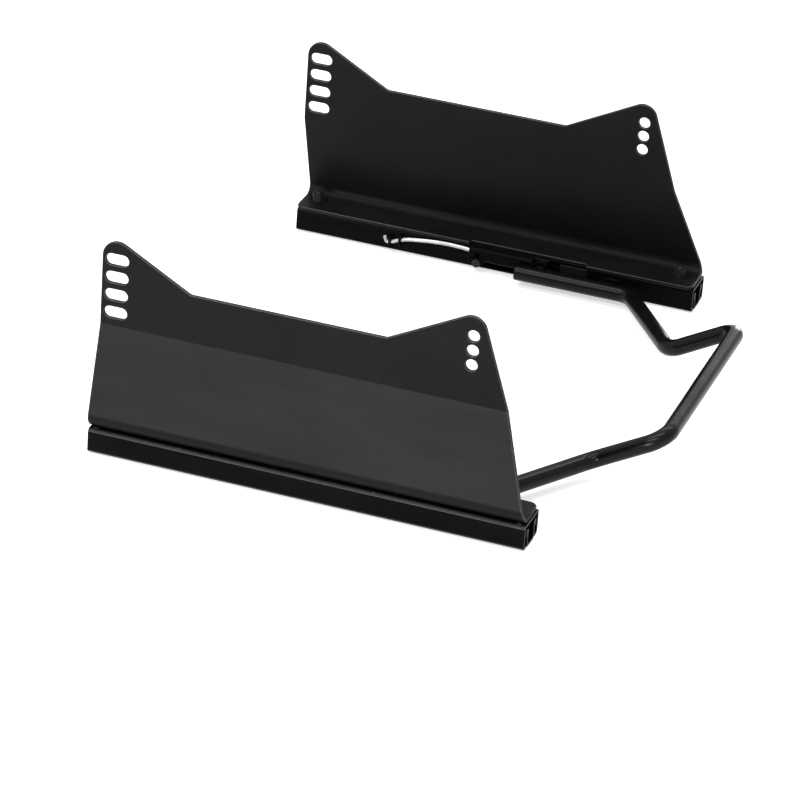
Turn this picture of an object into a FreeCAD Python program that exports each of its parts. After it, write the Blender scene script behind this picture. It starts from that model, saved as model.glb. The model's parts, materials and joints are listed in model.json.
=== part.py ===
import FreeCAD, Part
import math
import os

from FreeCAD import Vector

# Pair of seat slide rails with folded side brackets and a bent release bar.
# Millimetres. +X is forward, +Y is the sitter's left, +Z is up.
# The origin is on the floor, in the middle of the four floor holes.
# Every left-hand piece is drawn, and its right-hand twin is its mirror image.

# Rails
rail_spacing = 461.0          # between the centre lines of the two rails
rail_length = 360.0           # both rails
rail_width = 34.5             # outside width of the moving rail
rail_height = 22.0            # floor to the top of the moving rail
rail_sheet = 2.0              # sheet of both rails
rail_bend = 1.0               # inside radius of their folds
lip_clearance = 1.0           # under the moving rail's lips
lip_reach = 5.1               # how far a lip turns in from the inside of the wall
base_width = 17.6             # outside width of the fixed rail's channel
hem_gap = 1.0                 # between the fixed rail's wall and its folded edge
hook_height = 16.6            # floor to the top of the folded edge
hook_end = 10.4               # floor to the lower edge of the fold
floor_hole_diameter = 8.5
floor_hole_inset = 20.0       # behind the rails' ends

# Travel, latch teeth and end stops
travel_share = 0.25           # travel each way from the middle, over the rails' length
tooth_pitch = 10.0
claw_count = 3
claw_width = 5.0
claw_play = 0.7               # beside a claw in its notch
claw_bite = 2.2               # how far a claw stands up into its notch
claw_headroom = 0.4           # above a claw in its notch
first_claw_x = -1.5
stop_inset = 1.0              # stop tabs behind the rails' ends
stop_thickness = 2.0
stop_height = 5.0
stop_reach = 2.6
stop_clearance = 0.3

# Glide shoes
glide_length = 26.0
glide_clearance = 0.3         # to the fixed rail
glide_arm = 2.9               # top arm, over the folded edge
glide_foot = 1.6              # bottom arm, under the folded edge
glide_chamfer = 1.1           # clear of the rail's folds
glide_peg_diameter = 3.8
glide_peg_height = 1.6
peg_clearance = 0.1

# Side brackets
bracket_sheet = 3.0
bracket_bend = 3.0            # inside radius of the long fold
foot_bend = 7.0               # inside radius of the fold at the foot flange
bracket_setback = 5.9         # middle of the upright plate inside the rail's centre line
bracket_fold_height = 104.0   # floor to the long fold
bracket_lean = 17.0           # degrees, below the fold
bracket_overhang = 2.0        # flange edge past the rail's inner wall
flange_corner_radius = 7.0
bracket_rear_past = 2.0       # upright plate behind the rail's rear end
foot_rear_past = 0.8          # foot flange behind the rail's rear end
foot_front_inset = 1.0        # foot flange behind the rail's front end
web_front_inset = 3.4         # the same for the web above the fold
recess_rear = -20.5           # flange cut back beside the latch lever
recess_front = 85.0
recess_past_wall = 0.2        # recessed edge past the inside of the rail's wall
recess_corner_radius = 3.0
corner_cut_rear = 51.0        # rail's top corner cut away in front of the pivot
corner_cut_bottom = 12.5
waist_height = 144.0          # floor to the straight top edge
waist_rear_run = 61.5         # from the slots to the rear end of the straight edge
waist_front_run = 68.5        # from the holes back to its front end
notch_radius = 5.0
rear_ear_rise = 2.6           # ear's centre above the top slot
front_ear_rise = 3.8          # ear's centre above the top hole
ear_radius = 12.6
front_ear_setback = 2.0       # ear centre behind the hole column
column_spacing = 290.0        # between the slots and the holes
slot_count = 4
slot_width = 9.5
slot_length = 19.0
slot_pitch = 15.0
top_slot_height = 160.4
hole_count = 3
hole_diameter = 9.5
hole_pitch = 12.2
top_hole_height = 160.8

# Studs, washers and nuts
stud_rear_inset = 14.3        # from the foot flange's rear end
stud_front_inset = 16.5       # from its front end
stud_diameter = 6.0
stud_clearance = 0.2
stud_head_diameter = 10.0
stud_head_height = 1.6
stud_proud = 2.0              # past the nut
stud_tip = 0.8                # chamfer of the stud's end
washer_diameter = 11.0
washer_thickness = 1.6
nut_width = 10.0              # across the flats
nut_height = 5.0
nut_chamfer_angle = 26.5      # degrees, below the corners

# Latch lever, its pivot and its guide
lever_lift = 7.0              # degrees from latched to free
lever_sheet = 2.5
lever_bend = 1.0
lever_rear = -19.0
lever_front = 116.0
lever_top = 22.4              # floor to the top flange
lever_flange_end = 38.0
lever_flange_gap = 0.6        # top flange to the rail's wall
lever_tail_bottom = 8.5
lever_arm_bottom = 8.0        # beside the bar
lever_arm_top = 15.0
lever_horn_top = 20.0
lever_horn_length = 12.0
lever_gap = 4.7               # between the rail's wall and the lever
lever_corner = 1.5
comb_shoulder = 1.5           # comb sheet past the outer claws
comb_relief = 1.5             # slit between the comb's fold and the flat web
claw_root = 0.9               # comb sheet before the folded edge
window_margin = 1.5           # rail wall cut away round the comb
window_sill = 0.4             # rail wall left above the lip
pivot_x = 45.5
pivot_height = 15.8
pivot_diameter = 6.0
pivot_ear_radius = 6.5
running_clearance = 0.05
pin_end_gap = 0.3             # beside the lever
pivot_collar_diameter = 9.5
pivot_shank_diameter = 5.0
rivet_head_height = 1.2       # inside the rail
pivot_head_diameter = 6.4
guide_x = -11.5
guide_height = 9.0
guide_diameter = 4.0
guide_head_diameter = 7.5
guide_head_height = 1.5
guide_play = 0.5

# Wire spring and its straps
wire_diameter = 3.8
wire_offset = 2.35            # wire centre from the rail's wall
wire_end = (-97.3, 15.0)      # x and height of its upturned end
wire_foot = (-95.0, 8.7)
wire_knee = (-78.0, 15.2)
wire_crown_x = -41.0
wire_tip_x = -15.5
wire_fall = 0.1               # down per unit of length from the crown to the tip
wire_tip_gap = 0.2            # under the lever's top flange
wire_radii = (2.8, 45.0, 190.0)
strap_places = (-92.0, -82.8)
strap_width = 2.0
strap_sheet = 1.2
strap_side_gap = 0.4          # beside the wire
strap_room = 2.2              # above and below the wire

# Release bar
bar_diameter = 14.0
bar_wall = 1.5
bar_height = 11.9             # floor to the bar's centre beside the rails
bar_rear = 26.4
bar_neck_past = 9.8           # in front of the rails, where the neck turns forward and up
bar_neck_height = 15.2
bar_neck_run = 61.5           # from there back to where the arms turn inward
grip_past = 67.2              # grip in front of the rails
grip_height = 47.5
grip_half_width = 107.6
arm_bend_radius = 19.0
neck_bend_radius = 19.0
grip_bend_radius = 16.0

# Room beyond what a cut takes away
cut_margin = 1.0

# Sizes worked out from those above
rail_y = rail_spacing / 2
rail_end = rail_length / 2
floor_hole_x = rail_end - floor_hole_inset
wall_outer = rail_width / 2
wall_inner = wall_outer - rail_sheet
inner_wall_y = rail_y - wall_outer
ceiling = rail_height - rail_sheet
lip_top = lip_clearance + rail_sheet
base_outer = base_width / 2
hem_inner = base_outer + hem_gap
hem_outer = hem_inner + rail_sheet
flange_top = rail_height + bracket_sheet
nut_bottom = flange_top + washer_thickness
plate_y = rail_y - bracket_setback
bracket_rear = -rail_end - bracket_rear_past
bracket_foot_rear = -rail_end - foot_rear_past
bracket_foot_front = rail_end - foot_front_inset
slot_column_x = bracket_rear + ear_radius
hole_column_x = slot_column_x + column_spacing
rear_ear_height = top_slot_height + rear_ear_rise
front_ear_height = top_hole_height + front_ear_rise
waist_rear = slot_column_x + waist_rear_run
waist_front = hole_column_x - waist_front_run
stud_places = (bracket_foot_rear + stud_rear_inset, bracket_foot_front - stud_front_inset)
recess_edge = inner_wall_y + rail_sheet + recess_past_wall
lever_outer_y = inner_wall_y - lever_gap
lever_inner_y = lever_outer_y - lever_sheet
claw_top = hook_end + claw_bite
claw_bottom = claw_top - lever_sheet
comb_rear = first_claw_x - claw_width / 2 - comb_shoulder
comb_front = first_claw_x + (claw_count - 1) * tooth_pitch + claw_width / 2 + comb_shoulder
slide_travel = rail_length * travel_share
stop_x = rail_end - stop_inset - stop_thickness
glide_end = stop_x - stop_clearance - slide_travel
wire_y = inner_wall_y - wire_offset
wire_touch_height = lever_top - lever_sheet - wire_tip_gap - wire_diameter / 2
bar_y = lever_inner_y - bar_diameter / 2
bar_neck_front = rail_end + bar_neck_past
bar_arm_front = bar_neck_front - bar_neck_run
grip_front = rail_end + grip_past


def unit(vector):
    """The same direction, one long."""
    return Vector(vector).normalize()


def bend_points(before, corner, after, radius):
    """Start, middle, end and centre of the arc that rounds a corner."""
    inward, outward = unit(corner - before), unit(after - corner)
    half_turn = inward.getAngle(outward) / 2
    reach = radius * math.tan(half_turn)
    start, end = corner - inward * reach, corner + outward * reach
    centre = corner + unit(outward - inward) * (radius / math.cos(half_turn))
    return start, centre + unit(corner - centre) * radius, end, centre


def joined_edges(points):
    """Straight edges and arcs: a plain point is a corner, a triple is an arc's start, middle and end."""
    edges = []
    last = None
    for item in points:
        first = item[0] if isinstance(item, tuple) else item
        if last is not None and (first - last).Length > 1e-6:
            edges.append(Part.makeLine(last, first))
        if isinstance(item, tuple):
            edges.append(Part.Arc(*item).toShape())
            last = item[2]
        else:
            last = item
    return edges


def rounded_route(points, radii):
    """An open wire through the points, each inner corner rounded by its own radius."""
    items = [points[0]]
    for i, radius in enumerate(radii, 1):
        items.append(bend_points(points[i - 1], points[i], points[i + 1], radius)[:3])
    items.append(points[-1])
    return Part.Wire(joined_edges(items))


def sheet_section(path, thickness, inside_radii):
    """A folded sheet's cross-section: a band of even thickness along a path of (y, z) points."""
    points = [Vector(0, y, z) for y, z in path]
    half = thickness / 2
    across = Vector(1, 0, 0)
    sides = []
    for side in (1, -1):
        first = across.cross(unit(points[1] - points[0])) * (half * side)
        last = across.cross(unit(points[-1] - points[-2])) * (half * side)
        items = [points[0] + first]
        for i, inside in enumerate(inside_radii, 1):
            start, middle, end, centre = bend_points(points[i - 1], points[i], points[i + 1], inside + half)
            heading = unit(points[i] - points[i - 1])
            turns_to_side = across.cross(heading).dot(centre - points[i]) * side > 0
            radius = inside if turns_to_side else inside + thickness
            items.append(tuple(centre + unit(p - centre) * radius for p in (start, middle, end)))
        items.append(points[-1] + last)
        sides.append(items)
    back = [item[::-1] if isinstance(item, tuple) else item for item in reversed(sides[1])]
    return Part.Face(Part.Wire(joined_edges(sides[0] + back + sides[0][:1])))


def along_x(section, rear, front):
    """A cross-section drawn at x = 0, run from rear to front."""
    moved = section.copy()
    moved.translate(Vector(rear, 0, 0))
    return moved.extrude(Vector(front - rear, 0, 0))


def box(x, y, z):
    """A block between pairs of limits."""
    return Part.makeBox(x[1] - x[0], y[1] - y[0], z[1] - z[0], Vector(x[0], y[0], z[0]))


def upright_cylinder(x, y, z, diameter):
    """A cylinder along Z between two heights."""
    return Part.makeCylinder(diameter / 2, z[1] - z[0], Vector(x, y, z[0]), Vector(0, 0, 1))


def cross_cylinder(x, y, z, diameter):
    """A cylinder along Y between two places."""
    return Part.makeCylinder(diameter / 2, y[1] - y[0], Vector(x, y[0], z), Vector(0, 1, 0))


def side_plate(corners, y):
    """A flat plate between two places across. A corner is (x, z), or (x, z, radius) where it is rounded."""
    points = [Vector(corner[0], y[0], corner[1]) for corner in corners]
    items = list(points)
    for i, corner in enumerate(corners):
        if len(corner) == 3:
            items[i] = bend_points(points[i - 1], points[i], points[(i + 1) % len(points)], corner[2])[:3]
    first = items[0][0] if isinstance(items[0], tuple) else items[0]
    return Part.Face(Part.Wire(joined_edges(items + [first]))).extrude(Vector(0, y[1] - y[0], 0))


def in_rail(path):
    """A path given from the left rail's centre line, moved to that rail."""
    return [(rail_y + y, z) for y, z in path]


def both_sides(half_path):
    """A path from the middle outward, completed by its mirror image."""
    return [(-y, z) for y, z in reversed(half_path)] + list(half_path)


def upper_rail():
    """The moving rail: an inverted channel whose lips turn in under the fixed rail's folded edges."""
    middle = rail_sheet / 2
    wall_middle = wall_outer - middle
    half_path = [
        (wall_middle, rail_height - middle),
        (wall_middle, lip_clearance + middle),
        (wall_inner - lip_reach, lip_clearance + middle),
    ]
    section = sheet_section(in_rail(both_sides(half_path)), rail_sheet, [rail_bend] * 4)
    rail = along_x(section, -rail_end, rail_end)
    top = (ceiling - cut_margin, rail_height + cut_margin)
    wall = (inner_wall_y - cut_margin, inner_wall_y + rail_sheet + cut_margin)
    cuts = [upright_cylinder(x, rail_y, top, stud_diameter + stud_clearance) for x in stud_places]
    cuts += [upright_cylinder(x, y, top, glide_peg_diameter + 2 * peg_clearance) for x, y in glide_peg_places()]
    cuts.append(cross_cylinder(pivot_x, wall, pivot_height, pivot_shank_diameter))
    cuts.append(cross_cylinder(guide_x, wall, guide_height, guide_diameter))
    cuts.append(box((comb_rear - window_margin, comb_front + window_margin), wall,
                    (lip_top + window_sill, claw_top + window_margin)))
    cuts.append(box((corner_cut_rear, recess_front), (wall[0], recess_edge), (corner_cut_bottom, top[1])))
    cuts += [strap_window(x) for x in strap_places]
    rail = rail.cut(cuts)
    return rail.fuse([strap(x) for x in strap_places]).removeSplitter()


def lower_rail():
    """The fixed rail: a floor channel with outward folded edges, the inner one notched for the claws."""
    middle = rail_sheet / 2
    half_path = [
        (base_outer - middle, middle),
        (base_outer - middle, hook_height - middle),
        (hem_inner + middle, hook_height - middle),
        (hem_inner + middle, hook_end),
    ]
    hem_bend = hem_gap / 2
    radii = [hem_bend, hem_bend, rail_bend, rail_bend, hem_bend, hem_bend]
    section = sheet_section(in_rail(both_sides(half_path)), rail_sheet, radii)
    rail = along_x(section, -rail_end, rail_end)
    holes = [upright_cylinder(x, rail_y, (-cut_margin, rail_sheet + cut_margin), floor_hole_diameter)
             for x in (-floor_hole_x, floor_hole_x)]
    rail = rail.cut(holes + tooth_notches())
    return rail.fuse(stop_tabs()).removeSplitter()


def tooth_notches():
    """The row of notches in the inner folded edge, one pitch apart over the whole travel."""
    steps = int(slide_travel / tooth_pitch)
    half = claw_width / 2 + claw_play
    notches = []
    for i in range(-steps, steps + claw_count):
        x = first_claw_x + i * tooth_pitch
        notches.append(box((x - half, x + half),
                           (rail_y - hem_outer - cut_margin, rail_y - hem_inner + hem_gap / 2),
                           (hook_end - cut_margin, claw_top + claw_headroom)))
    return notches


def stop_tabs():
    """Small tabs at the fixed rail's ends that the glide shoes meet at the end of the travel."""
    middle = (hook_height + hook_end) / 2
    tabs = []
    for x in ((stop_x, stop_x + stop_thickness), (-stop_x - stop_thickness, -stop_x)):
        for y in ((hem_outer, hem_outer + stop_reach), (-hem_outer - stop_reach, -hem_outer)):
            tabs.append(box(x, (rail_y + y[0], rail_y + y[1]),
                            (middle - stop_height / 2, middle + stop_height / 2)))
    return tabs


def glide_shoe(end, side):
    """A moulded shoe inside the moving rail that wraps round the fixed rail's folded edge.

    end is 1 at the front and -1 at the rear, side is 1 outside and -1 inside."""
    face = hem_outer + glide_clearance
    outline = [
        (wall_inner, lip_top + glide_chamfer),
        (wall_inner, ceiling - glide_chamfer),
        (wall_inner - glide_chamfer, ceiling),
        (hem_outer - glide_arm, ceiling),
        (hem_outer - glide_arm, hook_height + glide_clearance),
        (face, hook_height + glide_clearance),
        (face, hook_end - glide_clearance),
        (hem_outer - glide_foot, hook_end - glide_clearance),
        (hem_outer - glide_foot, lip_top),
        (wall_inner - glide_chamfer, lip_top),
    ]
    points = [Vector(0, rail_y + side * y, z) for y, z in outline]
    section = Part.Face(Part.makePolygon(points + points[:1]))
    near, far = glide_end - glide_length, glide_end
    shoe = along_x(section, *((near, far) if end > 0 else (-far, -near)))
    x, y = glide_peg_place(end, side)
    peg = upright_cylinder(x, y, (ceiling - cut_margin, ceiling + glide_peg_height), glide_peg_diameter)
    return shoe.fuse(peg)


def glide_peg_place(end, side):
    """Where a shoe's peg stands in the moving rail's top."""
    return end * (glide_end - glide_length / 2), rail_y + side * (wall_inner + hem_outer - glide_arm) / 2


def glide_peg_places():
    """The four pegs of one rail."""
    return [glide_peg_place(end, side) for end in (1, -1) for side in (1, -1)]


def wire_route():
    """The wire spring's centre line: upturned end, foot, knee, crown, and the tip under the lever's tail."""
    crown_height = wire_touch_height + (lever_rear - wire_crown_x) * wire_fall
    tip_height = wire_touch_height - (wire_tip_x - lever_rear) * wire_fall
    places = [wire_end, wire_foot, wire_knee, (wire_crown_x, crown_height), (wire_tip_x, tip_height)]
    return rounded_route([Vector(x, wire_y, z) for x, z in places], wire_radii)


def wire_height(x):
    """Height of the wire's centre line at a strap."""
    upright = Part.makeLine(Vector(x, wire_y, 0), Vector(x, wire_y, rail_height))
    return wire_route().distToShape(upright)[1][0][0].z


def strap(x):
    """A strap lanced out of the rail's wall, round the wire spring."""
    height = wire_height(x)
    half_room = wire_diameter / 2 + strap_room
    bottom, top = height - half_room - strap_sheet / 2, height + half_room + strap_sheet / 2
    outer = wire_y - wire_diameter / 2 - strap_side_gap - strap_sheet / 2
    root = inner_wall_y + rail_sheet / 2
    section = sheet_section([(root, top), (outer, top), (outer, bottom), (root, bottom)],
                            strap_sheet, [strap_sheet / 2] * 2)
    return along_x(section, x - strap_width / 2, x + strap_width / 2)


def strap_window(x):
    """The hole that a strap leaves in the wall."""
    height = wire_height(x)
    half_room = wire_diameter / 2 + strap_room
    wall = (inner_wall_y - cut_margin, inner_wall_y + rail_sheet + cut_margin)
    return box((x - strap_width / 2, x + strap_width / 2), wall, (height - half_room, height + half_room))


def latch_spring():
    """The round wire spring, bowed upward, that holds the lever's tail up."""
    route = wire_route()
    start = route.Edges[0].firstVertex().Point
    along = unit(Vector(wire_foot[0], wire_y, wire_foot[1]) - start)
    circle = Part.Wire(Part.makeCircle(wire_diameter / 2, start, along))
    return route.makePipeShell([circle], True, False)


def tangent_point(point, centre, radius, side):
    """Where a line from a point touches a circle in the XZ plane."""
    away = point - centre
    reach = math.acos(radius / away.Length)
    angle = math.atan2(away.z, away.x) + side * reach
    return centre + Vector(math.cos(angle), 0, math.sin(angle)) * radius


def bracket_outline():
    """The bracket's outline from the side: two rounded ears, a straight waist and a raking front."""
    rear_ear = Vector(slot_column_x, 0, rear_ear_height)
    front_ear = Vector(hole_column_x - front_ear_setback, 0, front_ear_height)
    waist_back, waist_fore = Vector(waist_rear, 0, waist_height), Vector(waist_front, 0, waist_height)
    bend_height = flange_top + foot_bend
    foot = Vector(rail_end - web_front_inset, 0, bend_height)
    rear_down = tangent_point(waist_back, rear_ear, ear_radius, 1)
    front_up = tangent_point(waist_fore, front_ear, ear_radius, -1)
    front_down = tangent_point(foot, front_ear, ear_radius, 1)
    rear_side = Vector(bracket_rear, 0, rear_ear_height)
    items = [
        Vector(bracket_foot_rear, 0, rail_height),
        Vector(bracket_foot_rear, 0, bend_height),
        Vector(bracket_rear, 0, bracket_fold_height),
        (rear_side, rear_ear + unit(rear_side - rear_ear + rear_down - rear_ear) * ear_radius, rear_down),
        bend_points(rear_down, waist_back, waist_fore, notch_radius)[:3],
        bend_points(waist_back, waist_fore, front_up, notch_radius)[:3],
        (front_up, front_ear + unit(front_up - front_ear + front_down - front_ear) * ear_radius, front_down),
        foot,
        Vector(bracket_foot_front, 0, flange_top),
        Vector(bracket_foot_front, 0, rail_height),
        Vector(bracket_foot_rear, 0, rail_height),
    ]
    return Part.Wire(joined_edges(items))


def side_bracket():
    """The folded side bracket: foot flange, leaning web and upright plate in one sheet."""
    middle = bracket_sheet / 2
    flange_middle = rail_height + middle
    web_foot = plate_y + math.tan(math.radians(bracket_lean)) * (bracket_fold_height - flange_middle)
    path = [
        (inner_wall_y - bracket_overhang, flange_middle),
        (web_foot, flange_middle),
        (plate_y, bracket_fold_height),
        (plate_y, front_ear_height + 2 * ear_radius),
    ]
    section = sheet_section(path, bracket_sheet, [foot_bend, bracket_bend])
    sheet = along_x(section, bracket_rear - cut_margin, bracket_foot_front + cut_margin)
    outline = Part.Face(bracket_outline())
    outline.translate(Vector(0, inner_wall_y - 2 * bracket_overhang, 0))
    width = web_foot + bracket_sheet * 2 - inner_wall_y + 2 * bracket_overhang
    bracket = sheet.common(outline.extrude(Vector(0, width, 0)))
    bracket = bracket.cut([flange_corner(end) for end in (1, -1)] + [lever_recess()])
    plate = (plate_y - bracket_sheet, plate_y + bracket_sheet)
    holes = [cross_cylinder(hole_column_x, plate, top_hole_height - i * hole_pitch, hole_diameter)
             for i in range(hole_count)]
    holes += [slot(top_slot_height - i * slot_pitch, plate) for i in range(slot_count)]
    flange = (rail_height - cut_margin, flange_top + cut_margin)
    holes += [upright_cylinder(x, rail_y, flange, stud_diameter + 4 * stud_clearance) for x in stud_places]
    return bracket.cut(holes).removeSplitter()


def slot(height, y):
    """One long hole, level, in the rear ear."""
    half = (slot_length - slot_width) / 2
    ends = [cross_cylinder(slot_column_x + dx, y, height, slot_width) for dx in (-half, half)]
    middle = box((slot_column_x - half, slot_column_x + half), y,
                 (height - slot_width / 2, height + slot_width / 2))
    return middle.fuse(ends)


def flange_corner(end):
    """What is cut away to round one inner corner of the foot flange."""
    edge = inner_wall_y - bracket_overhang
    x = bracket_foot_front if end > 0 else bracket_foot_rear
    across = (edge - cut_margin, edge + flange_corner_radius)
    flange = (rail_height - cut_margin, flange_top + cut_margin)
    square = box(sorted((x - end * flange_corner_radius, x + end * cut_margin)), across, flange)
    return square.cut(upright_cylinder(x - end * flange_corner_radius, across[1], flange, 2 * flange_corner_radius))


def lever_recess():
    """What is cut from the flange's inner edge to make room for the latch lever."""
    inner_limit = inner_wall_y - bracket_overhang - recess_corner_radius - cut_margin
    block = box((recess_rear, recess_front), (inner_limit, recess_edge),
                (rail_height - cut_margin, flange_top + cut_margin))
    upright = [edge for edge in block.Edges if abs(edge.tangentAt(0).z) > 0.99]
    return block.makeFillet(recess_corner_radius, upright)


def rail_studs():
    """Two studs set in the moving rail's top, heads inside."""
    top = flange_top + washer_thickness + nut_height + stud_proud
    studs = []
    for x in stud_places:
        shank = upright_cylinder(x, rail_y, (ceiling, top - stud_tip), stud_diameter)
        tip = Part.makeCone(stud_diameter / 2, stud_diameter / 2 - stud_tip, stud_tip,
                            Vector(x, rail_y, top - stud_tip), Vector(0, 0, 1))
        head = upright_cylinder(x, rail_y, (ceiling - stud_head_height, ceiling), stud_head_diameter)
        studs.append(shank.fuse([tip, head]).removeSplitter())
    return Part.makeCompound(studs)


def stud_washers():
    """Plain washers on the foot flange."""
    washers = []
    for x in stud_places:
        disc = upright_cylinder(x, rail_y, (flange_top, flange_top + washer_thickness), washer_diameter)
        washers.append(disc.cut(upright_cylinder(x, rail_y, (flange_top - cut_margin, nut_bottom + cut_margin),
                                                 stud_diameter + 2 * stud_clearance)))
    return Part.makeCompound(washers)


def stud_nuts():
    """Hexagon nuts, chamfered on top, over the washers."""
    corner = nut_width / 2 / math.cos(math.radians(30))
    slope = math.tan(math.radians(nut_chamfer_angle))
    cone_radius = nut_width / 2 + nut_height / slope
    nuts = []
    for x in stud_places:
        points = [Vector(x + corner * math.cos(math.radians(60 * k)),
                         rail_y + corner * math.sin(math.radians(60 * k)), nut_bottom) for k in range(6)]
        prism = Part.Face(Part.makePolygon(points + points[:1])).extrude(Vector(0, 0, nut_height))
        cone = Part.makeCone(cone_radius, 0, cone_radius * slope, Vector(x, rail_y, nut_bottom), Vector(0, 0, 1))
        hole = upright_cylinder(x, rail_y, (nut_bottom - cut_margin, nut_bottom + nut_height + cut_margin),
                                stud_diameter + stud_clearance / 2)
        nuts.append(prism.common(cone).cut(hole))
    return Part.makeCompound(nuts)


def pivot_pin():
    """The stepped pin riveted in the moving rail's inner wall, on which the lever turns."""
    wall_back = inner_wall_y + rail_sheet
    journal = cross_cylinder(pivot_x, (lever_inner_y + pin_end_gap, lever_outer_y + pin_end_gap), pivot_height,
                             pivot_diameter)
    collar = cross_cylinder(pivot_x, (lever_outer_y + pin_end_gap, inner_wall_y), pivot_height,
                            pivot_collar_diameter)
    shank = cross_cylinder(pivot_x, (inner_wall_y, wall_back), pivot_height, pivot_shank_diameter)
    head = cross_cylinder(pivot_x, (wall_back, wall_back + rivet_head_height), pivot_height, pivot_head_diameter)
    return journal.fuse([collar, shank, head]).removeSplitter()


def guide_rivet():
    """The headed rivet in the fork of the lever's tail, which keeps the lever beside the rail."""
    wall_back = inner_wall_y + rail_sheet
    head_y = lever_inner_y - pin_end_gap
    shank = cross_cylinder(guide_x, (head_y, wall_back), guide_height, guide_diameter)
    head = cross_cylinder(guide_x, (head_y - guide_head_height, head_y), guide_height, guide_head_diameter)
    back = cross_cylinder(guide_x, (wall_back, wall_back + rivet_head_height), guide_height, pivot_head_diameter)
    return shank.fuse([head, back]).removeSplitter()


def latch_lever():
    """The folded lever: a web beside the bar, a top flange and a comb of claws that reach through the wall."""
    middle = lever_sheet / 2
    web_y = lever_inner_y + middle
    comb_fold = claw_bottom + lever_sheet + lever_bend
    flange_fold = lever_top - lever_sheet - lever_bend
    horn_rear = lever_front - lever_horn_length
    web = side_plate([
        (lever_rear, lever_tail_bottom, lever_corner),
        (comb_rear - comb_relief, lever_tail_bottom),
        (comb_rear - comb_relief, comb_fold),
        (comb_front + comb_relief, comb_fold),
        (comb_front + comb_relief, lever_arm_bottom),
        (lever_front, lever_arm_bottom, lever_corner),
        (lever_front, lever_horn_top, lever_corner),
        (horn_rear, lever_horn_top, lever_corner),
        (horn_rear - lever_horn_top + lever_arm_top, lever_arm_top, lever_corner),
        (pivot_x + 2 * pivot_ear_radius, lever_arm_top, lever_corner),
        (pivot_x, pivot_height + pivot_ear_radius / 2),
        (lever_flange_end, flange_fold),
        (lever_rear, flange_fold),
    ], (lever_inner_y, lever_outer_y))
    flange = sheet_section([
        (inner_wall_y - lever_flange_gap, lever_top - middle),
        (web_y, lever_top - middle),
        (web_y, flange_fold),
    ], lever_sheet, [lever_bend])
    comb = sheet_section([
        (web_y, comb_fold),
        (web_y, claw_bottom + middle),
        (rail_y - hem_outer - claw_root, claw_bottom + middle),
    ], lever_sheet, [lever_bend])
    ear = cross_cylinder(pivot_x, (lever_inner_y, lever_outer_y), pivot_height, 2 * pivot_ear_radius)
    lever = web.fuse([along_x(flange, lever_rear, lever_flange_end), along_x(comb, comb_rear, comb_front), ear]
                     + claws())
    bore = cross_cylinder(pivot_x, (lever_inner_y - cut_margin, lever_outer_y + cut_margin), pivot_height,
                          pivot_diameter + 2 * running_clearance)
    return lever.cut([bore, guide_fork()]).removeSplitter()


def claws():
    """The claws at the comb's edge, one pitch apart."""
    reach = (rail_y - hem_outer - claw_root - lever_sheet, rail_y - (base_outer + hem_inner) / 2)
    places = [first_claw_x + i * tooth_pitch for i in range(claw_count)]
    return [box((x - claw_width / 2, x + claw_width / 2), reach, (claw_bottom, claw_top)) for x in places]


def guide_fork():
    """The slit in the lever's tail, open below, in which the guide rivet climbs as the tail goes down."""
    climb = (pivot_x - guide_x) * math.sin(math.radians(lever_lift))
    half = guide_diameter / 2 + guide_play
    y = (lever_inner_y - cut_margin, lever_outer_y + cut_margin)
    slit = box((guide_x - half, guide_x + half), y, (0, guide_height + climb))
    return slit.fuse(cross_cylinder(guide_x, y, guide_height + climb, 2 * half))


def release_bar():
    """The bent tube that joins both levers: level arms, necks turning inward, raised grip across the front."""
    half = [
        Vector(bar_rear, bar_y, bar_height),
        Vector(bar_arm_front, bar_y, bar_height),
        Vector(bar_neck_front, grip_half_width, bar_neck_height),
        Vector(grip_front, grip_half_width, grip_height),
    ]
    points = half + [Vector(p.x, -p.y, p.z) for p in reversed(half)]
    radii = [arm_bend_radius, neck_bend_radius, grip_bend_radius]
    path = rounded_route(points, radii + radii[::-1])
    outer = Part.Wire(Part.makeCircle(bar_diameter / 2, points[0], Vector(1, 0, 0)))
    inner = Part.Wire(Part.makeCircle(bar_diameter / 2 - bar_wall, points[0], Vector(1, 0, 0)))
    return path.makePipeShell([outer], True, False).cut(path.makePipeShell([inner], True, False))


def mirrored(shape):
    """The right-hand twin of a left-hand piece."""
    return shape.mirror(Vector(0, 0, 0), Vector(0, 1, 0))


def save(shape, name):
    """Writes one node."""
    if not shape.isValid():
        print("not valid:", name)
    shape.exportStep("parts/" + name + ".step")


os.makedirs("parts", exist_ok=True)
pairs = {
    "lower_rail": lower_rail(),
    "upper_rail": upper_rail(),
    "side_bracket": side_bracket(),
    "rail_studs": rail_studs(),
    "stud_washers": stud_washers(),
    "stud_nuts": stud_nuts(),
    "pivot_pin": pivot_pin(),
    "guide_rivet": guide_rivet(),
    "latch_lever": latch_lever(),
    "latch_spring": latch_spring(),
    "front_outer_glide": glide_shoe(1, 1),
    "front_inner_glide": glide_shoe(1, -1),
    "rear_outer_glide": glide_shoe(-1, 1),
    "rear_inner_glide": glide_shoe(-1, -1),
}
for name, shape in pairs.items():
    save(shape, "left_" + name)
    save(mirrored(shape), "right_" + name)
save(release_bar(), "release_bar")
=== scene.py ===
import json
import math

import bmesh
import bpy
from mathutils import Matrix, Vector
from mathutils.bvhtree import BVHTree


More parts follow.
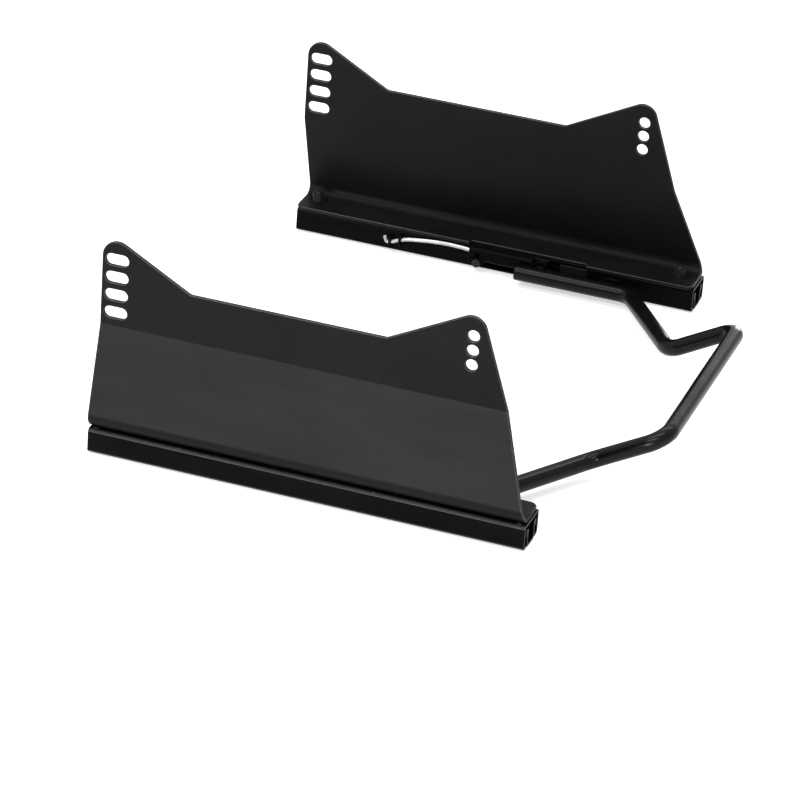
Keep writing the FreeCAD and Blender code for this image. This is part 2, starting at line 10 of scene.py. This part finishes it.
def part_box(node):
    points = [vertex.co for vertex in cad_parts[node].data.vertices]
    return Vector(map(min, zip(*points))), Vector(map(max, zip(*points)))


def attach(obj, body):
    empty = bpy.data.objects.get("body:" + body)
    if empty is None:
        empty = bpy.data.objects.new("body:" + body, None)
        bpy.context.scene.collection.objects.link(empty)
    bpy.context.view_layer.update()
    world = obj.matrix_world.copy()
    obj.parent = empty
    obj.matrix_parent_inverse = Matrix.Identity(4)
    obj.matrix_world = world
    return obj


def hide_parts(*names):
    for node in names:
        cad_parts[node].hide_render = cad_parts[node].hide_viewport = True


# Pair of seat slide rails with folded side brackets, sprung latches and a bent release bar.
# Metres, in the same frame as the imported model: +X forward, +Y the sitter's left, +Z up, floor at z = 0.

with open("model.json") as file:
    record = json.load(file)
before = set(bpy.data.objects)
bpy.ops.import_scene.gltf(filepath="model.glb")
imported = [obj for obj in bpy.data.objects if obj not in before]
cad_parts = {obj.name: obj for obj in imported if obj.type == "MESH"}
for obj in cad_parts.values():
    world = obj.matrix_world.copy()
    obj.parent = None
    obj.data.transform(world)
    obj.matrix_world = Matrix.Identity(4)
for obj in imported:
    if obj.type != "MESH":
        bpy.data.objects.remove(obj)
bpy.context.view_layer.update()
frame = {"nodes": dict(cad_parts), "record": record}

SIDES = {"left": 1, "right": -1}
RAIL_Y = 0.2305             # middle of a rail, across


# ---------------------------------------------------------------- shader building

WHOLE = (0.0, 1.0)
NOISE_SPAN = (0.3, 0.7)     # where most values of one noise lie
SUM_SPAN = (0.75, 1.25)     # where most sums of two noises lie
UPWARD = (0.35, 0.95)       # z of the normals between a standing and a level surface


class Shader:
    """A material and short ways to add nodes to it."""

    def __init__(self, name):
        self.material = bpy.data.materials.new(name)
        self.material.use_nodes = True
        self.nodes = self.material.node_tree.nodes
        self.links = self.material.node_tree.links
        self.surface = self.nodes["Principled BSDF"]
        self.place = self.nodes.new("ShaderNodeTexCoord").outputs["Object"]

    def set(self, **values):
        """Uniform values of the surface."""
        for name, value in values.items():
            self.surface.inputs[name.replace("_", " ")].default_value = value

    def link(self, output, name):
        """A varying value of the surface."""
        self.links.new(output, self.surface.inputs[name])

    def stretched(self, scale):
        """Object coordinates scaled along each axis."""
        node = self.nodes.new("ShaderNodeMapping")
        node.inputs["Scale"].default_value = scale
        self.links.new(self.place, node.inputs["Vector"])
        return node.outputs["Vector"]

    def noise(self, scale, detail=3.0, roughness=0.5, stretch=None):
        """Cloudy values, with scale in clouds per metre."""
        node = self.nodes.new("ShaderNodeTexNoise")
        node.inputs["Scale"].default_value = scale
        node.inputs["Detail"].default_value = detail
        node.inputs["Roughness"].default_value = roughness
        self.links.new(self.stretched(stretch) if stretch else self.place, node.inputs["Vector"])
        return node.outputs["Fac"]

    def cells(self, scale):
        """Distance to the middle of the nearest of many small cells."""
        node = self.nodes.new("ShaderNodeTexVoronoi")
        node.inputs["Scale"].default_value = scale
        self.links.new(self.place, node.inputs["Vector"])
        return node.outputs["Distance"]

    def ranged(self, value, span, result):
        """A value within one span, spread over another."""
        node = self.nodes.new("ShaderNodeMapRange")
        for name, number in zip(("From Min", "From Max", "To Min", "To Max"), (*span, *result)):
            node.inputs[name].default_value = number
        self.links.new(value, node.inputs["Value"])
        return node.outputs["Result"]

    def both(self, a, b, operation="MULTIPLY"):
        """Two values joined into one."""
        node = self.nodes.new("ShaderNodeMath")
        node.operation = operation
        self.links.new(a, node.inputs[0])
        self.links.new(b, node.inputs[1])
        return node.outputs["Value"]

    def blend(self, share, first, second):
        """A colour between two, each a colour or another node's output."""
        node = self.nodes.new("ShaderNodeMix")
        node.data_type = "RGBA"
        self.links.new(share, node.inputs["Factor"])
        colours = [socket for socket in node.inputs if socket.type == "RGBA"]
        for socket, value in zip(colours, (first, second)):
            if isinstance(value, tuple):
                socket.default_value = (*value, 1.0)
            else:
                self.links.new(value, socket)
        return next(socket for socket in node.outputs if socket.type == "RGBA")

    def facing_up(self):
        """One where the surface faces up, nought where it stands or faces down."""
        normal = self.nodes.new("ShaderNodeNewGeometry").outputs["Normal"]
        parts = self.nodes.new("ShaderNodeSeparateXYZ")
        self.links.new(normal, parts.inputs["Vector"])
        return self.ranged(parts.outputs["Z"], UPWARD, WHOLE)

    def bump(self, height, distance, under=None):
        """A normal that follows a height, over another bump or none."""
        node = self.nodes.new("ShaderNodeBump")
        node.inputs["Strength"].default_value = 1.0
        node.inputs["Distance"].default_value = distance
        self.links.new(height, node.inputs["Height"])
        if under is not None:
            self.links.new(under, node.inputs["Normal"])
        return node.outputs["Normal"]


# ---------------------------------------------------------------- materials

DUST = (0.09, 0.088, 0.084)
BARE_STEEL = (0.16, 0.155, 0.15)
RUBBED_OXIDE = (0.10, 0.097, 0.094)


def coat(name, dark, light, roughness, gloss, peel, wear=0.0, dust=0.0):
    """A sprayed or dipped black coat: cloudy tone, fine grain, orange peel, faint rubs and a breath of dust.

    dark and light are the ends of its tone, roughness its range, gloss its specular level, peel the depth of
    its orange peel in metres, wear how much bare steel shows and dust how much lies on what faces up."""
    shader = Shader(name)
    clouds = shader.noise(scale=11.0, detail=4.0, roughness=0.6)
    grain = shader.noise(scale=1500.0, detail=2.0, roughness=0.7)
    tone = shader.ranged(shader.both(clouds, grain, "ADD"), SUM_SPAN, WHOLE)
    colour = shader.blend(tone, dark, light)
    if dust:
        patches = shader.noise(scale=60.0, detail=5.0, roughness=0.7)
        settled = shader.both(shader.facing_up(), shader.ranged(patches, (0.4, 0.8), (0.0, dust)))
        colour = shader.blend(settled, colour, DUST)
    if wear:
        rubs = shader.noise(scale=160.0, detail=6.0, roughness=0.75)
        colour = shader.blend(shader.ranged(rubs, (0.60, 0.72), (0.0, wear)), colour, BARE_STEEL)
    shader.link(colour, "Base Color")
    scuffs = shader.noise(scale=26.0, detail=5.0, roughness=0.65, stretch=(0.35, 1.0, 1.6))
    shader.link(shader.ranged(scuffs, NOISE_SPAN, roughness), "Roughness")
    orange_peel = shader.bump(shader.noise(scale=640.0, detail=2.0), peel)
    shader.link(shader.bump(grain, peel * 0.35, under=orange_peel), "Normal")
    shader.set(Specular_IOR_Level=gloss)
    return shader.material


def rolled_steel(name, dark, light, roughness, gloss):
    """Electrocoated steel that still shows the lines it was rolled with along X."""
    shader = Shader(name)
    lines = shader.noise(scale=420.0, detail=4.0, roughness=0.6, stretch=(0.02, 1.0, 1.0))
    clouds = shader.noise(scale=14.0, detail=4.0, roughness=0.6)
    tone = shader.ranged(shader.both(clouds, lines, "ADD"), SUM_SPAN, WHOLE)
    shader.link(shader.blend(tone, dark, light), "Base Color")
    shader.link(shader.ranged(lines, NOISE_SPAN, roughness), "Roughness")
    grooves = shader.bump(lines, distance=0.000012)
    shader.link(shader.bump(shader.noise(scale=900.0, detail=2.0), distance=0.000008, under=grooves), "Normal")
    shader.set(Specular_IOR_Level=gloss)
    return shader.material


def plated_wire(name):
    """Zinc-plated spring wire: bright, with drawing lines along it and duller spots."""
    shader = Shader(name)
    lines = shader.noise(scale=900.0, detail=4.0, roughness=0.6, stretch=(0.05, 1.0, 1.0))
    spots = shader.noise(scale=120.0, detail=5.0, roughness=0.65)
    dulled = shader.ranged(spots, (0.35, 0.7), WHOLE)
    shader.link(shader.blend(dulled, (0.47, 0.47, 0.46), (0.31, 0.31, 0.305)), "Base Color")
    shader.link(shader.ranged(shader.both(lines, spots, "ADD"), (0.7, 1.3), (0.20, 0.42)), "Roughness")
    shader.link(shader.bump(lines, distance=0.00001), "Normal")
    shader.set(Metallic=1.0)
    return shader.material


def oxide(name):
    """Blackened steel fasteners, a little brighter where a spanner or thread has rubbed."""
    shader = Shader(name)
    clouds = shader.noise(scale=240.0, detail=5.0, roughness=0.6)
    rubs = shader.noise(scale=520.0, detail=5.0, roughness=0.7)
    base = shader.blend(clouds, (0.006, 0.006, 0.007), (0.014, 0.0135, 0.014))
    shader.link(shader.blend(shader.ranged(rubs, (0.55, 0.75), (0.0, 0.25)), base, RUBBED_OXIDE), "Base Color")
    shader.link(shader.ranged(clouds, NOISE_SPAN, (0.34, 0.55)), "Roughness")
    shader.link(shader.bump(shader.noise(scale=1800.0), distance=0.000015), "Normal")
    shader.set(Specular_IOR_Level=0.18)
    return shader.material


def moulded(name):
    """Black moulded acetal with a fine sparked grain."""
    shader = Shader(name)
    clouds = shader.noise(scale=90.0)
    shader.link(shader.blend(clouds, (0.005, 0.005, 0.0055), (0.010, 0.010, 0.0105)), "Base Color")
    shader.link(shader.ranged(shader.noise(scale=700.0), NOISE_SPAN, (0.42, 0.6)), "Roughness")
    shader.link(shader.bump(shader.cells(scale=2600.0), distance=0.00002), "Normal")
    shader.set(Specular_IOR_Level=0.15)
    return shader.material


def weld_metal(name):
    """A coated weld bead: rougher and a little uneven in tone."""
    shader = Shader(name)
    clouds = shader.noise(scale=380.0, detail=5.0, roughness=0.7)
    shader.link(shader.blend(clouds, (0.006, 0.006, 0.0065), (0.018, 0.017, 0.016)), "Base Color")
    shader.link(shader.ranged(clouds, NOISE_SPAN, (0.36, 0.62)), "Roughness")
    shader.link(shader.bump(clouds, distance=0.00006), "Normal")
    shader.set(Specular_IOR_Level=0.18)
    return shader.material


BRACKET = coat("bracket_powder_coat", dark=(0.0052, 0.0052, 0.0055), light=(0.0084, 0.0084, 0.0088),
               roughness=(0.34, 0.42), gloss=0.055, peel=0.00003, dust=0.05)
# The three edge coats are lighter, glossier copies of the bracket, lever and rail coats. They paint a highlight on
# rounded edges and on the rails' outer bends, with rubbed bare steel on top.
BRACKET_HIGHLIGHT_AND_WEAR = coat("bracket_powder_coat_highlight_and_wear", dark=(0.010, 0.010, 0.0105), light=(0.018, 0.018, 0.019),
                    roughness=(0.26, 0.34), gloss=0.30, peel=0.00002, wear=0.30)
BAR = coat("bar_powder_coat", dark=(0.0020, 0.0020, 0.0023), light=(0.0040, 0.0040, 0.0044),
           roughness=(0.20, 0.28), gloss=0.14, peel=0.00001, wear=0.04, dust=0.02)
LEVER = coat("lever_electrocoat", dark=(0.0014, 0.0014, 0.0016), light=(0.0028, 0.0028, 0.0031),
             roughness=(0.28, 0.38), gloss=0.025, peel=0.00001, dust=0.03)
LEVER_HIGHLIGHT_AND_WEAR = coat("lever_electrocoat_highlight_and_wear", dark=(0.006, 0.006, 0.0065), light=(0.012, 0.012, 0.013),
                  roughness=(0.28, 0.38), gloss=0.12, peel=0.00001, wear=0.3)
RAIL = rolled_steel("rail_electrocoat", dark=(0.0016, 0.0016, 0.0019), light=(0.0032, 0.0032, 0.0036),
                    roughness=(0.28, 0.38), gloss=0.03)
RAIL_HIGHLIGHT_AND_WEAR = coat("rail_electrocoat_highlight_and_wear", dark=(0.006, 0.006, 0.0065), light=(0.014, 0.014, 0.015),
                 roughness=(0.26, 0.36), gloss=0.16, peel=0.00001, wear=0.3)
OXIDE = oxide("fastener_black_oxide")
ZINC = plated_wire("spring_zinc_plate")
ACETAL = moulded("glide_acetal")
WELD = weld_metal("coated_weld")


# ---------------------------------------------------------------- mesh building

def shown(mesh, name, body, materials):
    """A bmesh as a smooth piece of the object that rides on a body."""
    data = bpy.data.meshes.new(name)
    mesh.to_mesh(data)
    mesh.free()
    for material in materials:
        data.materials.append(material)
    for face in data.polygons:
        face.use_smooth = True
    piece = bpy.data.objects.new(name, data)
    bpy.context.scene.collection.objects.link(piece)
    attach(piece, body)
    return piece


def ring(mesh, centre, normal, radius, count):
    """One ring of points round a line."""
    normal = Vector(normal).normalized()
    side = normal.orthogonal().normalized()
    across = normal.cross(side)
    return [mesh.verts.new(Vector(centre) + (side * math.cos(a) + across * math.sin(a)) * radius)
            for a in turns(count)]


def turns(count):
    """Angles that share a whole turn evenly."""
    return [2 * math.pi * i / count for i in range(count)]


def skin(mesh, rings, capped=True):
    """Faces between rings, and over both ends."""
    for lower, upper in zip(rings, rings[1:]):
        for i in range(len(lower)):
            j = (i + 1) % len(lower)
            mesh.faces.new((lower[i], lower[j], upper[j], upper[i]))
    if capped:
        mesh.faces.new(rings[0][::-1])
        mesh.faces.new(rings[-1])


# ---------------------------------------------------------------- dressed nodes

SAME_POINT = 1e-6           # points nearer than this are one
FLAT = math.radians(0.4)    # faces that turn less are merged
HARD = math.radians(28.0)   # edges that turn more are rounded
ALONG = 0.05                # x of the normals on surfaces that run along the rail
LEANING = 0.1               # y and z of the normals on bends
SAWN = 0.3                  # x of the normals at a rail's sawn ends
STRAY = 0.4                 # widths off the surface, from which a point goes back
FLAT_FACE_WEIGHT = 80       # how strongly wide faces hold the shading normals


def body_of(node):
    """The body that a node belongs to."""
    for body, members in frame["record"]["behaviour"]["bodies"].items():
        if node in members:
            return body
    raise KeyError(node)


# Faces picked here take the lighter edge material: a painted highlight line along the rail's outer bends.
def is_outer_bend(face):
    """Whether a face is part of a bend on the rail's outer side."""
    leaning = abs(face.normal.x) < ALONG and min(abs(face.normal.y), abs(face.normal.z)) > LEANING
    return leaning and abs(face.calc_center_median().y) > RAIL_Y


def edged(node, name, width, materials, segments=2, bends=False, held=True):
    """A node's own surface with every hard edge rounded, shown in the node's place.

    The rounded edges take the second material, a lighter copy that paints a highlight on them, with rubbed wear.
    With bends, for a rail, so do the bends of its outer side, as a painted highlight line, and the edges of its sawn
    ends don't.
    held keeps the rounding as narrow as the node's smallest faces need. Without it, a point that the
    rounding throws off the node's surface goes back to it."""
    mesh = bmesh.new()
    mesh.from_mesh(frame["nodes"][node].data)
    bmesh.ops.remove_doubles(mesh, verts=mesh.verts, dist=SAME_POINT)
    bmesh.ops.dissolve_limit(mesh, angle_limit=FLAT, verts=mesh.verts, edges=mesh.edges)
    for face in mesh.faces:
        face.material_index = 1 if bends and is_outer_bend(face) else 0
    hard = [edge for edge in mesh.edges if len(edge.link_faces) == 2 and edge.calc_face_angle(0.0) > HARD]
    surface = BVHTree.FromBMesh(mesh)
    bmesh.ops.bevel(mesh, geom=hard, offset=width, offset_type="OFFSET", segments=segments, profile=0.5,
                    affect="EDGES", clamp_overlap=held, material=1)
    if not held:
        for point in mesh.verts:
            nearest, _, _, distance = surface.find_nearest(point.co)
            if distance > STRAY * width:
                point.co = nearest
    # A rail's sawn ends keep the plain coat, without the painted highlight.
    if bends:
        mesh.normal_update()
        for face in mesh.faces:
            if abs(face.normal.x) > SAWN:
                face.material_index = 0
    piece = shown(mesh, name, body_of(node), materials)
    even_normals(piece)
    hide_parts(node)


def even_normals(piece):
    """Keeps flat faces flat beside rounded edges."""
    modifier = piece.modifiers.new("even_normals", "WEIGHTED_NORMAL")
    modifier.keep_sharp = True
    modifier.weight = FLAT_FACE_WEIGHT


for side in SIDES:
    edged(side + "_side_bracket", side + "_bracket_dressed", width=0.00070, materials=(BRACKET, BRACKET_HIGHLIGHT_AND_WEAR),
          segments=3, held=False)
    edged(side + "_upper_rail", side + "_moving_rail_dressed", width=0.00030, materials=(RAIL, RAIL_HIGHLIGHT_AND_WEAR), bends=True)
    edged(side + "_lower_rail", side + "_fixed_rail_dressed", width=0.00022, materials=(RAIL, RAIL_HIGHLIGHT_AND_WEAR), bends=True)
    edged(side + "_latch_lever", side + "_latch_lever_dressed", width=0.00030, materials=(LEVER, LEVER_HIGHLIGHT_AND_WEAR))
    edged(side + "_stud_washers", side + "_washers_dressed", width=0.00025, materials=(OXIDE, OXIDE))
    edged(side + "_stud_nuts", side + "_nuts_dressed", width=0.00025, materials=(OXIDE, OXIDE))
    edged(side + "_pivot_pin", side + "_pivot_pin_dressed", width=0.00040, materials=(OXIDE, OXIDE))
    edged(side + "_guide_rivet", side + "_guide_rivet_dressed", width=0.00045, materials=(OXIDE, OXIDE), segments=3)
    edged(side + "_latch_spring", side + "_spring_dressed", width=0.00050, materials=(ZINC, ZINC), segments=3)
    for place in ("front_outer", "front_inner", "rear_outer", "rear_inner"):
        edged("%s_%s_glide" % (side, place), "%s_%s_shoe_dressed" % (side, place), width=0.00025,
              materials=(ACETAL, ACETAL))
edged("release_bar", "release_bar_dressed", width=0.00040, materials=(BAR, BAR), segments=3)


# ---------------------------------------------------------------- threads

STUD_PLACES = (-0.1665, 0.1625)     # along X
STUD_POINTS = 36                    # round a stud
STUD_HEAD = ((0.0, 0.0044), (0.0001, 0.0047), (0.0004, 0.0050), (0.0013, 0.0050), (0.0016, 0.0047))  # height, radius
SHANK_START = 0.0016                # above the head's underside
THREAD_START = 0.0052
THREAD_PITCH = 0.001
THREAD_DEPTH = 0.0005
THREAD_RADIUS = 0.003
THREAD_LEVELS = 10                  # rings per turn of the thread
THREAD_CREST = 1.35                 # how steep a flank is, so that a flat crest is left
TIP_HEIGHT = 0.0008                 # chamfer at a stud's tip


def threaded_studs(side):
    """Both M6 studs of one rail, with rolled threads above their heads."""
    low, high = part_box(side + "_rail_studs")
    y = SIDES[side] * RAIL_Y
    shank, thread = low.z + SHANK_START, low.z + THREAD_START
    mesh = bmesh.new()

    def level(x, z, radii):
        return [mesh.verts.new((x + r * math.cos(a), y + r * math.sin(a), z))
                for r, a in zip(radii, turns(STUD_POINTS))]

    def thread_radius(z, i):
        wave = abs(((z / THREAD_PITCH - i / STUD_POINTS) % 1.0) * 2 - 1)
        cut = THREAD_DEPTH * (1 - min(1.0, wave * THREAD_CREST)) if z > thread else 0.0
        tip = THREAD_RADIUS - max(0.0, z - (high.z - TIP_HEIGHT))
        return min(THREAD_RADIUS - cut, tip)

    for x in STUD_PLACES:
        rings = [level(x, low.z + height, [radius] * STUD_POINTS) for height, radius in STUD_HEAD]
        rows = int((high.z - shank) / (THREAD_PITCH / THREAD_LEVELS))
        for k in range(rows + 1):
            z = shank + (high.z - shank) * k / rows
            rings.append(level(x, z, [thread_radius(z, i) for i in range(STUD_POINTS)]))
        skin(mesh, rings)
    bmesh.ops.recalc_face_normals(mesh, faces=mesh.faces)
    piece = shown(mesh, side + "_threaded_studs", "seat_carriage", (OXIDE,))
    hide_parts(side + "_rail_studs")


# ---------------------------------------------------------------- welds

BEAD_POINTS = 12            # round a bead
BEAD_RINGS = 6              # rings per ripple
BEAD_FEWEST = 8             # rings of the shortest bead
BEAD_TAPER = 4              # radii over which an end thins out
BEAD_END = 0.25             # share of the radius that is left at an end
BEAD_RIPPLE = 0.14          # share of the radius by which a scale rises
BEAD_CREST = 0.35           # where a scale is highest
BEAD_LEAN = 0.21            # share of the radius by which a scale leans
BEAD_WIDTH = 1.15           # of the radius, along the seam's faces
BEAD_HEIGHT = 0.8           # of the radius, out of the seam

LEVER_SEAM_Y = 0.20605      # where the bar's end meets the lever
LEVER_BEAD_INSET = 0.0012   # from the seam towards the bar
LEVER_BEAD_RADIUS = 0.0015
LEVER_RIPPLE = 0.0016
ABOVE, BELOW = 0.0152, 0.0086                   # heights of the beads over and under the bar
REAR, MIDDLE, FRONT = (0.0275, 0.0400), (0.0640, 0.0760), (0.0990, 0.1140)      # their ends along X
LEVER_BEADS = ((REAR, ABOVE, 1), (MIDDLE, ABOVE, 1), (FRONT, ABOVE, 1), (MIDDLE, BELOW, -1), (FRONT, BELOW, -1))
SLANT = 0.7                 # of a bead between two faces that meet at a right angle

PIP_X, PIP_Y, PIP_Z = 0.1744, 0.2443, 0.0222    # middle of a pip at the foot of the bracket
PIP_REACH = 0.0022                              # from its middle to its end
PIP_RADIUS = 0.0012
PIP_RIPPLE = 0.0014


def bead(mesh, start, end, radius, ripple, towards):
    """A weld bead along a line: overlapping scales, flattened towards what it joins."""
    start, end, towards = Vector(start), Vector(end), Vector(towards).normalized()
    along = (end - start).normalized()
    across = along.cross(towards)
    length = (end - start).length
    steps = max(BEAD_FEWEST, int(length / (ripple / BEAD_RINGS)))

    def thinned(distance):
        return math.sin(math.pi * min(1.0, distance / (BEAD_TAPER * radius)) / 2) + BEAD_END

    rings = []
    for k in range(steps + 1):
        t = k / steps
        phase = (t * length / ripple) % 1.0
        taper = min(1.0, thinned(t * length), thinned((1 - t) * length))
        scale = math.sqrt(max(0.0, 1 - (phase - BEAD_CREST) ** 2 * 2))
        swell = radius * taper * (1 - BEAD_RIPPLE + BEAD_RIPPLE * scale)
        lean = along * (BEAD_LEAN * radius * (phase - 0.5))
        rings.append([mesh.verts.new(start + along * (length * t) + lean * math.cos(a)
                                     + across * (math.sin(a) * swell * BEAD_WIDTH)
                                     - towards * (math.cos(a) * swell * BEAD_HEIGHT)) for a in turns(BEAD_POINTS)])
    skin(mesh, rings)


def lever_welds(side):
    """Short fillet welds that hold the bar's end against the lever."""
    sign = SIDES[side]
    y = sign * LEVER_SEAM_Y - sign * LEVER_BEAD_INSET
    mesh = bmesh.new()
    for (rear, front), z, out in LEVER_BEADS:
        bead(mesh, (rear, y, z), (front, y, z), LEVER_BEAD_RADIUS, LEVER_RIPPLE, (0, sign * SLANT, -SLANT * out))
    bmesh.ops.recalc_face_normals(mesh, faces=mesh.faces)
    shown(mesh, side + "_lever_welds", "release_handle", (WELD,))


def foot_welds(side):
    """A low weld pip at each end of the bracket's foot, where its flange meets the moving rail."""
    y = SIDES[side] * PIP_Y
    mesh = bmesh.new()
    for x in (-PIP_X, PIP_X):
        bead(mesh, (x - PIP_REACH, y, PIP_Z), (x + PIP_REACH, y, PIP_Z), PIP_RADIUS, PIP_RIPPLE, (0, 0, -1))
    bmesh.ops.recalc_face_normals(mesh, faces=mesh.faces)
    shown(mesh, side + "_foot_welds", "seat_carriage", (WELD,))


for side in SIDES:
    threaded_studs(side)
    lever_welds(side)
    foot_welds(side)


# ---------------------------------------------------------------- floor, lamps and camera

FLOOR_RADII = (12.0, 3.0, 1.0)
FLOOR_POINTS = 64
FLOOR_DROP = 0.0002             # keeps the floor's face just under the rails'
FLOOR_TONE = 0.80
GLOW_REACH = (1.2, 3.2)         # distances between which the lamps' light on the floor gives out
GLOW = (0.60, 0.82)             # what the floor adds of its own at those distances, so that it stays white

SURROUNDING_LIGHT = 0.26        # on the object
SURROUNDING_WHITE = 1.0         # as seen and mirrored


def seen_rays(nodes, links):
    """One for camera, glossy and transmission rays."""
    rays = nodes.new("ShaderNodeLightPath")
    value = rays.outputs["Is Camera Ray"]
    for name in ("Is Glossy Ray", "Is Transmission Ray"):
        most = nodes.new("ShaderNodeMath")
        most.operation = "MAXIMUM"
        links.new(value, most.inputs[0])
        links.new(rays.outputs[name], most.inputs[1])
        value = most.outputs["Value"]
    return value


def floor_material():
    """A pale surface that takes shadows, and glows only for what sees or mirrors it."""
    made = bpy.data.materials.new("pale_floor")
    made.use_nodes = True
    nodes, links = made.node_tree.nodes, made.node_tree.links
    nodes.remove(nodes["Principled BSDF"])
    diffuse = nodes.new("ShaderNodeBsdfDiffuse")
    diffuse.inputs["Color"].default_value = (FLOOR_TONE, FLOOR_TONE, FLOOR_TONE, 1)
    away = nodes.new("ShaderNodeVectorMath")
    away.operation = "LENGTH"
    links.new(nodes.new("ShaderNodeNewGeometry").outputs["Position"], away.inputs[0])
    level = nodes.new("ShaderNodeMapRange")
    for name, number in zip(("From Min", "From Max", "To Min", "To Max"), (*GLOW_REACH, *GLOW)):
        level.inputs[name].default_value = number
    links.new(away.outputs["Value"], level.inputs["Value"])
    scaled = nodes.new("ShaderNodeMath")
    scaled.operation = "MULTIPLY"
    links.new(seen_rays(nodes, links), scaled.inputs[0])
    links.new(level.outputs["Result"], scaled.inputs[1])
    glow = nodes.new("ShaderNodeEmission")
    links.new(scaled.outputs["Value"], glow.inputs["Strength"])
    total = nodes.new("ShaderNodeAddShader")
    links.new(diffuse.outputs["BSDF"], total.inputs[0])
    links.new(glow.outputs["Emission"], total.inputs[1])
    links.new(total.outputs["Shader"], nodes["Material Output"].inputs["Surface"])
    return made


def stage_floor():
    """A plain pale floor that reads as white where no shadow falls."""
    mesh = bmesh.new()
    rings = [ring(mesh, (0, 0, 0), (0, 0, 1), radius, FLOOR_POINTS) for radius in FLOOR_RADII]
    skin(mesh, rings, capped=False)
    mesh.faces.new(rings[-1])
    bmesh.ops.recalc_face_normals(mesh, faces=mesh.faces)
    data = bpy.data.meshes.new("floor")
    mesh.to_mesh(data)
    mesh.free()
    if data.polygons[0].normal.z < 0:
        data.flip_normals()
    data.materials.append(floor_material())
    floor = bpy.data.objects.new("floor", data)
    floor.location.z = -FLOOR_DROP
    bpy.context.scene.collection.objects.link(floor)


def surroundings():
    """White to be seen, and a soft even light on the object."""
    world = bpy.data.worlds.new("surroundings")
    bpy.context.scene.world = world
    world.use_nodes = True
    nodes, links = world.node_tree.nodes, world.node_tree.links
    light, white = nodes["Background"], nodes.new("ShaderNodeBackground")
    for background, strength in ((light, SURROUNDING_LIGHT), (white, SURROUNDING_WHITE)):
        background.inputs["Color"].default_value = (1, 1, 1, 1)
        background.inputs["Strength"].default_value = strength
    chosen = nodes.new("ShaderNodeMixShader")
    links.new(seen_rays(nodes, links), chosen.inputs["Fac"])
    links.new(light.outputs["Background"], chosen.inputs[1])
    links.new(white.outputs["Background"], chosen.inputs[2])
    links.new(chosen.outputs["Shader"], nodes["World Output"].inputs["Surface"])


def softbox(name, place, aim, size, watts):
    """A rectangular soft lamp."""
    data = bpy.data.lights.new(name, "AREA")
    data.shape = "RECTANGLE"
    data.size, data.size_y = size
    data.energy = watts
    lamp = bpy.data.objects.new(name, data)
    lamp.location = place
    lamp.rotation_euler = (Vector(aim) - Vector(place)).to_track_quat("-Z", "Y").to_euler()
    lamp.visible_camera = False
    bpy.context.scene.collection.objects.link(lamp)


def photograph_camera(place, degrees, lens, sensor=36.0):
    """The camera as fitted to the photograph, with lens and sensor in millimetres."""
    data = bpy.data.cameras.new("photograph_camera")
    data.sensor_width = sensor
    data.lens = lens
    camera = bpy.data.objects.new("photograph_camera", data)
    camera.location = place
    camera.rotation_euler = [math.radians(angle) for angle in degrees]
    bpy.context.scene.collection.objects.link(camera)
    bpy.context.scene.camera = camera


stage_floor()
surroundings()
softbox("front_softbox", place=(-0.28, -1.72, 0.20), aim=(-0.2, -0.2, 0.07), size=(1.5, 0.24), watts=25.5)
softbox("front_strip", place=(-0.60, -1.85, 2.05), aim=(-0.60, 0, 0.06), size=(2.6, 0.34), watts=34.0)
softbox("top_strip", place=(-0.62, -0.36, 2.4), aim=(-0.62, -0.15, 0), size=(2.8, 0.50), watts=36.0)
softbox("rear_softbox", place=(0.25, 2.30, 0.50), aim=(0.25, 0.2, 0.07), size=(1.0, 0.7), watts=24.0)
softbox("rear_strip", place=(0.30, 1.30, 2.30), aim=(0.30, 0, 0.06), size=(2.4, 0.34), watts=22.0)
photograph_camera(place=(0.94961, -3.00205, 1.58641), degrees=(62.8183, -3.7108, 19.5536), lens=193.406)
bpy.context.scene.view_settings.view_transform = "Standard"
